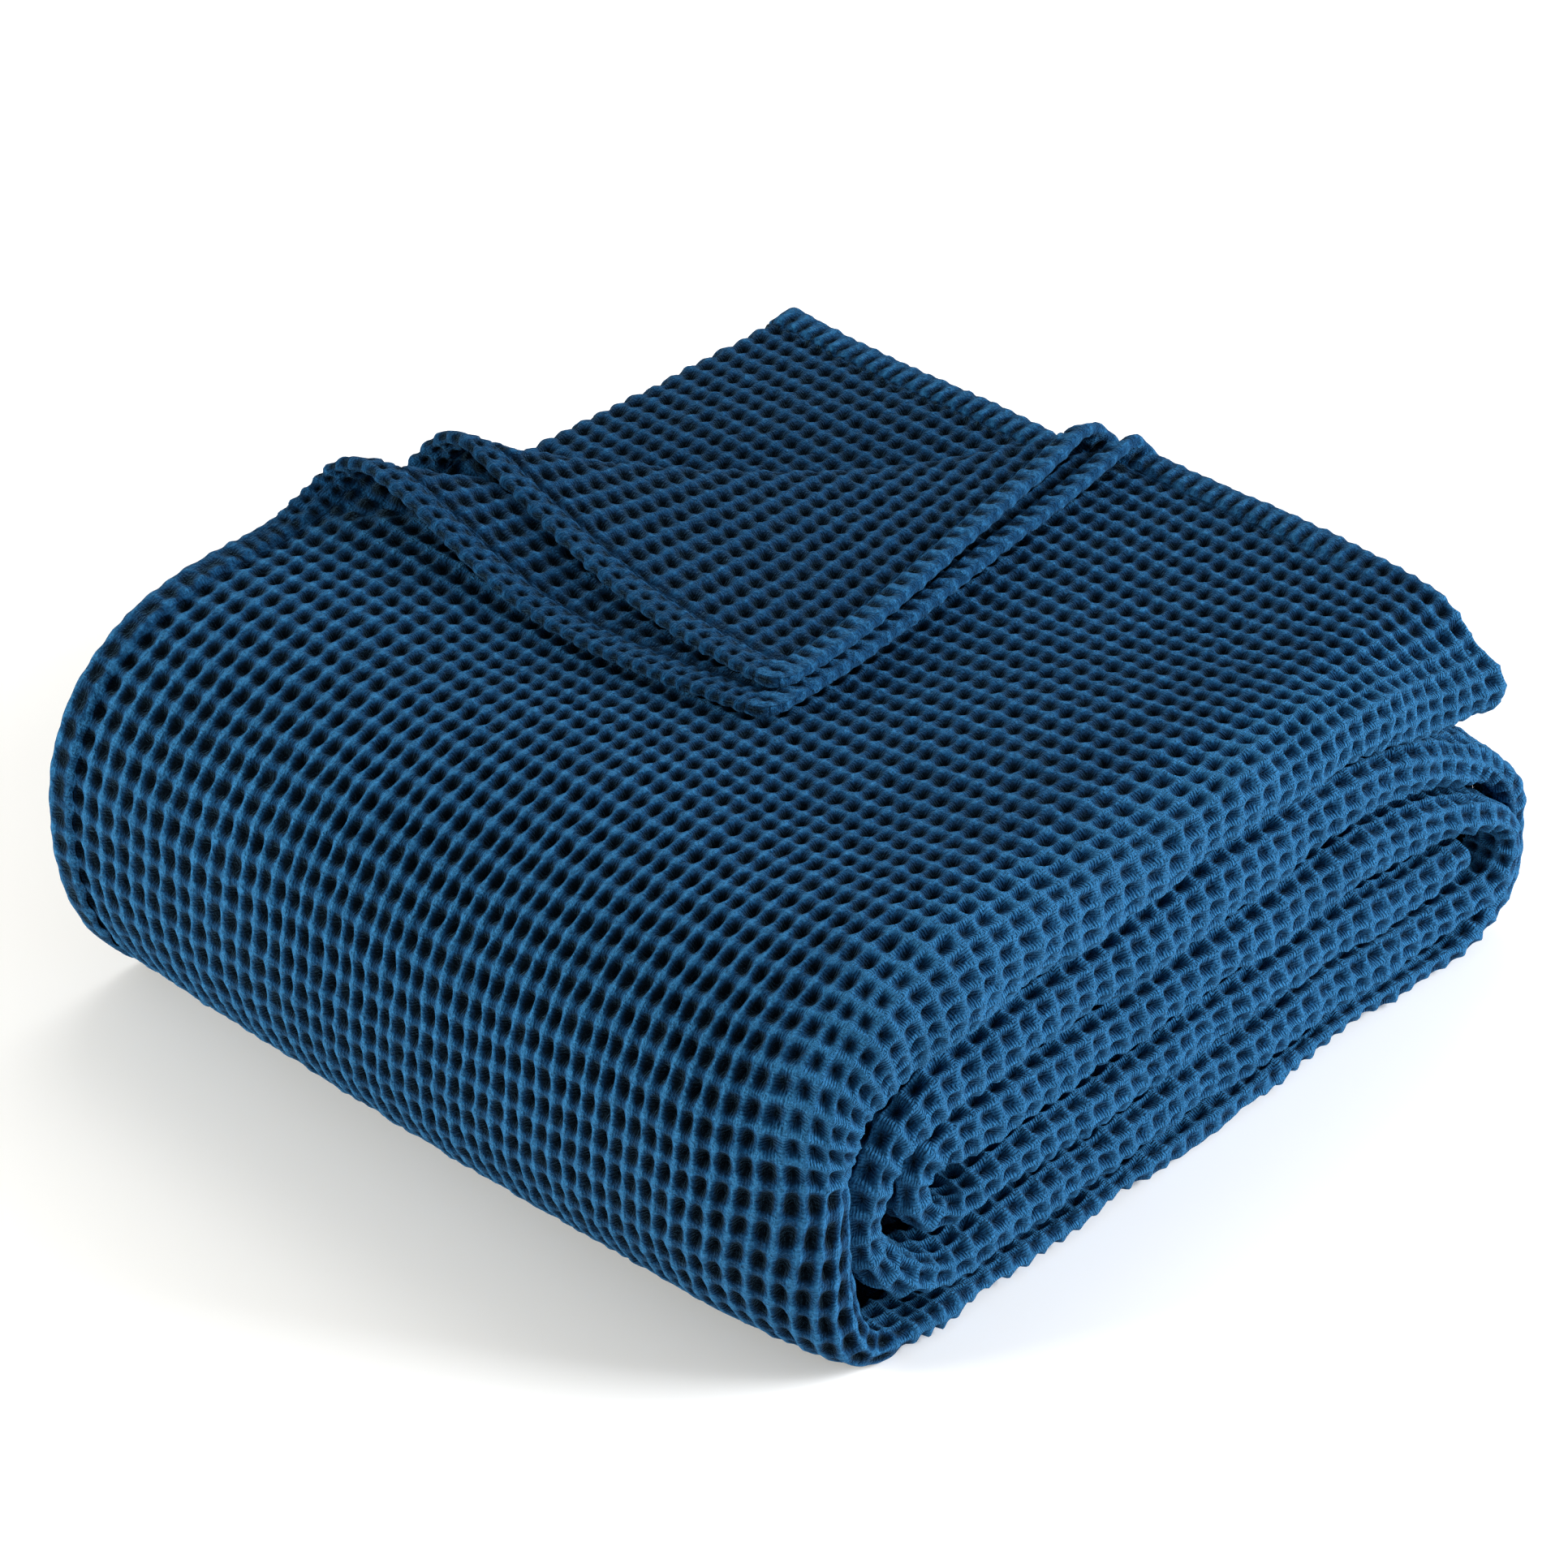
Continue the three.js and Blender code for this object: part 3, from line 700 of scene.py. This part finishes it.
def state_of(layer, run, side, past):
    """Shares of hem, of front fold and of cloth pulled long, and which face shows: 1 or -1."""
    hem = 1 - ease((run - HEM) / HEM_BLEND)
    if layer != "back":
        hem = hem * (1 - ease((side - HEM_FLATTENS["from"]) / HEM_FLATTENS["over"]))
        hem = np.maximum(hem, 1 - ease((side - HEM) / HEM_BLEND))
    shows = -1.0
    if layer in TURNED:
        shows = 1 - 2 * ease((past + FACE_CHANGE["before"]) / FACE_CHANGE["over"])
    if layer != "top":
        return hem, 0 * run, 0 * run, shows
    left = between(run, *LEFT_FOLD["turned"])
    start = mix(FRONT_START["flat"], FRONT_START["left"], left)
    front = ease((side - start) / mix(FRONT_BLEND["flat"], FRONT_BLEND["left"], left))
    return hem, front, between(run, *LEFT_FOLD["pulled"]) * (1 - front), shows


def paint_pit_shade(shape, front, pulled, seamed, at_end, facing):
    """Painted shade as the lightness of the yarn: darker down in the pits, set by zone, and a little darker
    on the other face.
    """
    loose, longer, folded, hemmed = (base + gain * shape for base, gain in PIT_SHADE.values())
    light = mix(mix(loose, longer, pulled), folded, FRONT_TONE * front)
    return mix(light, hemmed + END_HEM_LIGHTER * at_end, seamed) - OTHER_FACE_DARKER * (1 - facing)


def cloth_points(layer, along, across):
    """For cell coordinates, a layer's middle, its points with their relief, and what the material reads:
    the painted pit shade and the share of front fold.
    """
    run, side, end_turn, side_turn = on_layer(layer, along, across)
    middle, past, at = smooth_points(layer, run, side)
    along_cloth = smooth_points(layer, run + NUDGE, side)[0] - middle
    over_cloth = smooth_points(layer, run, side + NUDGE)[0] - middle
    normal = unit(np.cross(along_cloth, over_cloth))
    over = np.clip(np.cos(end_turn) + np.cos(side_turn) - 1, -1, 1)
    outward = normal * over[..., None] - unit(along_cloth) * np.sin(end_turn)[..., None]
    outward = unit(outward - unit(over_cloth) * np.sin(side_turn)[..., None])
    hem, front, pulled, shows = state_of(layer, run, side, past)
    edge = run if layer == "back" else np.minimum(run, side)
    under = (1 - over) / 2

    at_end = run < HEM
    side_hem = hem_relief(side, SIDE_RIBS * along, (1 - shows) / 2)
    seamed = hem * (1 - HEM_PULLED * pulled)
    in_hem = np.where(at_end, hem_relief(run, across, 0), side_hem)
    shape = mix(relief(along, across, front, pulled), in_hem, seamed)

    i, j = (np.mod(np.floor(cells).astype(int), CROSSINGS) for cells in (along, across))
    grain = FLUFF * at_nodes(fluff, FLUFF_GRAINS[0] * along, FLUFF_GRAINS[1] * across)
    depth = (RIDGE + PIT + DEEPER * pulled) * (1 - shape) * pit_depths[i, j]
    rise = RIDGE - depth + at_nodes(ridge_heights, along, across) + grain
    room = np.minimum(1, (at["half"] - LAYER_ROOM) / FULL_ROOM)
    rise = rise * room * mix(1, FRONT_TALLER, front) * (1 - under) ** 2
    rise = mix(rise, HEM_PIT * (shape - HEM_LEVEL) + HEM_FLUFF * grain, hem)
    from_stitches = (edge - HEM + STITCHES["in"]) / STITCHES["wide"]
    rise = rise - STITCHES["deep"] * seamed * np.exp(-(from_stitches**2))
    level = ease((np.abs(normal[..., 2]) - GROOVE["level"]) / (1 - GROOVE["level"]))
    rise = rise - GROOVE["depth"] * front * level * (side > GROOVE["from"])
    rise = rise + front * sum(
        size * np.sin(2 * np.pi * (run / long + side / wide) + 2 * long) for long, wide, size in UNEVEN
    )

    bare = mix(BARE_EDGE * (1 - ease(edge / HEM)), BARE_BENEATH, under)
    padded = mix(bare, 1 - ease((edge - HEM + HEM_SLOPE) / HEM_SLOPE), hem)
    facing = mix(shows, 1, hem)
    points = middle + normal * (HEM_THICK / 2 * padded * over)[..., None]
    points = points + outward * (facing * rise)[..., None]
    return middle, points, paint_pit_shade(shape, front, pulled, seamed, at_end, facing), front


def cloth_piece(name, layer, along_cells, across_range, per_cell, keep=None):
    """Part of one layer, between two weave lines each way, with its relief."""
    steps = []
    for (low, high), count in zip((along_cells, across_range), per_cell):
        total = int(round((high - low) * count))
        steps.append(low + (np.arange(-1, total + 2)) * (high - low) / total)
    along, across = np.meshgrid(*steps, indexing="ij")
    middle, points, light, front = cloth_points(layer, along, across)
    normal = normals_of(points)
    inner = (slice(1, -1), slice(1, -1))
    grids = (middle, points, normal, light, front, along, across)
    middle, points, normal, light, front, along, across = (grid[inner] for grid in grids)
    index = np.arange(points.shape[0] * points.shape[1]).reshape(points.shape[:2])
    corners = [index[:-1, :-1], index[1:, :-1], index[1:, 1:], index[:-1, 1:]]
    if layer == "back":
        corners, normal = corners[::-1], -normal
    quads = np.stack(corners, axis=-1)
    wanted = np.ones(quads.shape[:2], bool)
    if keep is not None:
        near = keep(along, across)
        wanted = near[:-1, :-1] | near[1:, 1:]
    used, quads = np.unique(quads[wanted], return_inverse=True)
    quads = quads.reshape(-1, 4)

    mesh = bpy.data.meshes.new(name)
    mesh.vertices.add(len(used))
    mesh.vertices.foreach_set("co", ((points.reshape(-1, 3)[used] - CENTRE) * MM).ravel())
    mesh.loops.add(quads.size)
    mesh.loops.foreach_set("vertex_index", quads.ravel())
    mesh.polygons.add(len(quads))
    mesh.polygons.foreach_set("loop_start", np.arange(len(quads)) * 4)
    mesh.update(calc_edges=True)
    weave = mesh.uv_layers.new(name="weave")
    uv = np.stack([along, across], axis=-1).reshape(-1, 2)[used]
    weave.data.foreach_set("uv", uv[quads.ravel()].ravel())
    # The "height" attribute holds the painted pit shade, not a height
    for label, values in (("height", light), ("drawn", front)):
        attribute = mesh.attributes.new(label, "FLOAT", "POINT")
        attribute.data.foreach_set("value", values.ravel()[used].astype(np.float32))
    mesh.shade_smooth()
    mesh.normals_split_custom_set_from_vertices(normal.reshape(-1, 3)[used])
    piece = bpy.data.objects.new(name, mesh)
    bpy.context.scene.collection.objects.link(piece)
    piece.data.materials.append(cotton)
    return piece


# Steps to a cell, along and across
FINE = (8, 6)
BROAD = (7, 6)
MEDIUM = (4, 4)

# Where the pieces meet. Each edge is wrapped as far as it can be seen beneath, and the rest are
# distances in millimetres that are taken to the next weave line, or numbers of cells.
WRAP = HEM + np.pi * HEM_THICK / 2
end_wrap = -WRAP / PITCH_ALONG["pitch"][0]
side_wrap = -WRAP / PITCH_ACROSS["pitch"][0]
PIECE_ENDS = {"flap": FLAP_RUN, "left": 474, "under": 760, "right": 990, "corner": 236}
PIECE_SIDES = {"front": 326, "beneath": 432}
FRONT_SPARE = 12
HEM_CELLS = 3
END_STRIP = 7
CORNER_CELLS = 32
SECOND_FRONT = 63
LOWER_FRONT = 48
INSIDE_LONGER = 4
flap_stop, left_stop, under_stop, right_stop, corner_stop = (
    math.floor(cells_run(run)) for run in PIECE_ENDS.values()
)
inside_stop = corner_stop + INSIDE_LONGER
last_cell = math.floor(run_cells[-1])
middle_cell = (left_stop + last_cell) // 2
front_line = math.floor(cells_across(PIECE_SIDES["front"]))
under_line = math.ceil(cells_across(PIECE_SIDES["beneath"]))


def front_only(along, across):
    """The front folds, and a little of the cloth beneath them."""
    at = along_roll(run_at(along))
    outer = at["half"] - LAYER_ROOM
    to_fold = BACK["top_hem"] - at["front"] - outer
    return across_at(across) < to_fold + np.pi * outer + FRONT_SPARE


whole = (side_wrap, front_line)
hems = (side_wrap, HEM_CELLS)
fronts = (front_line, under_line)
flap_end = (end_wrap, END_STRIP)
cloth_pieces = [
    cloth_piece("top_length", "top", (end_wrap, flap_stop), whole, BROAD),
    cloth_piece("outer_left_fold", "top", (flap_stop, left_stop), whole, FINE),
    cloth_piece("underside", "top", (left_stop, under_stop), whole, MEDIUM),
    cloth_piece("right_fold", "top", (under_stop, right_stop), whole, MEDIUM),
    cloth_piece("upper_hems", "top", (right_stop, last_cell), hems, MEDIUM),
    cloth_piece("front_fold_outer", "top", (end_wrap, left_stop), fronts, FINE, keep=front_only),
    cloth_piece("front_folds_lower", "top", (left_stop, middle_cell), fronts, FINE, keep=front_only),
    cloth_piece("front_folds_inner", "top", (middle_cell, last_cell), fronts, FINE, keep=front_only),
    cloth_piece("second_layer_corner", "second", (end_wrap, corner_stop), (side_wrap, CORNER_CELLS), FINE),
    cloth_piece("second_hems", "second", (corner_stop, last_cell), hems, MEDIUM),
    cloth_piece("second_layer_end", "second", flap_end, (CORNER_CELLS, SECOND_FRONT), MEDIUM),
    cloth_piece("flap_end_lower", "back", flap_end, (HEM_CELLS, LOWER_FRONT), MEDIUM),
    cloth_piece("inside_layer", "back", (end_wrap, inside_stop), (-CORNER_CELLS, HEM_CELLS), FINE),
    cloth_piece("back_folds", "back", (inside_stop, last_cell), (-HEM_CELLS, HEM_CELLS), MEDIUM),
]
for piece in cloth_pieces:
    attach(piece, "root")
    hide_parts("blanket")

# Floor, backdrop and light, in metres

FLOOR_SIZE = 30
FLOOR_AT = (0, 0, -0.0005)
LIT = np.array([0, 0, 0.08])

bpy.ops.object.select_all(action="DESELECT")
bpy.ops.mesh.primitive_plane_add(size=FLOOR_SIZE, location=FLOOR_AT)
floor = bpy.context.object
floor.name = "floor"
# White paper, matt, so that it takes the shadow and shows no reflection
paper = bpy.data.materials.new("white_ground")
paper.use_nodes = True
paper.node_tree.nodes["Principled BSDF"].inputs["Base Color"].default_value = linear("#ffffff")
paper.node_tree.nodes["Principled BSDF"].inputs["Roughness"].default_value = 0.9
floor.data.materials.append(paper)

world = bpy.data.worlds.new("studio")
world.use_nodes = True
world.node_tree.nodes["Background"].inputs["Color"].default_value = linear("#fafafa")
world.node_tree.nodes["Background"].inputs["Strength"].default_value = 0.42
bpy.context.scene.world = world


def softbox(name, across_m, power, at, colour_code):
    """A square area light that faces the middle of the blanket."""
    data = bpy.data.lights.new(name, "AREA")
    data.shape = "SQUARE"
    data.size = across_m
    data.energy = power
    data.color = linear(colour_code)[:3]
    lamp = bpy.data.objects.new(name, data)
    lamp.location = at
    toward = LIT - np.array(at)
    flat = math.hypot(toward[0], toward[1])
    lamp.rotation_euler = (math.atan2(flat, -toward[2]), 0, math.atan2(toward[1], toward[0]) - math.pi / 2)
    bpy.context.scene.collection.objects.link(lamp)


softbox("key", 1.45, 136, (1.6, -2.0, 1.05), "#f8fbff")
softbox("fill", 0.8, 47, (-1.7, 0.9, 0.62), "#fffcf2")
softbox("overhead", 1.2, 11, (0.7, 0.7, 2.2), "#ffffff")
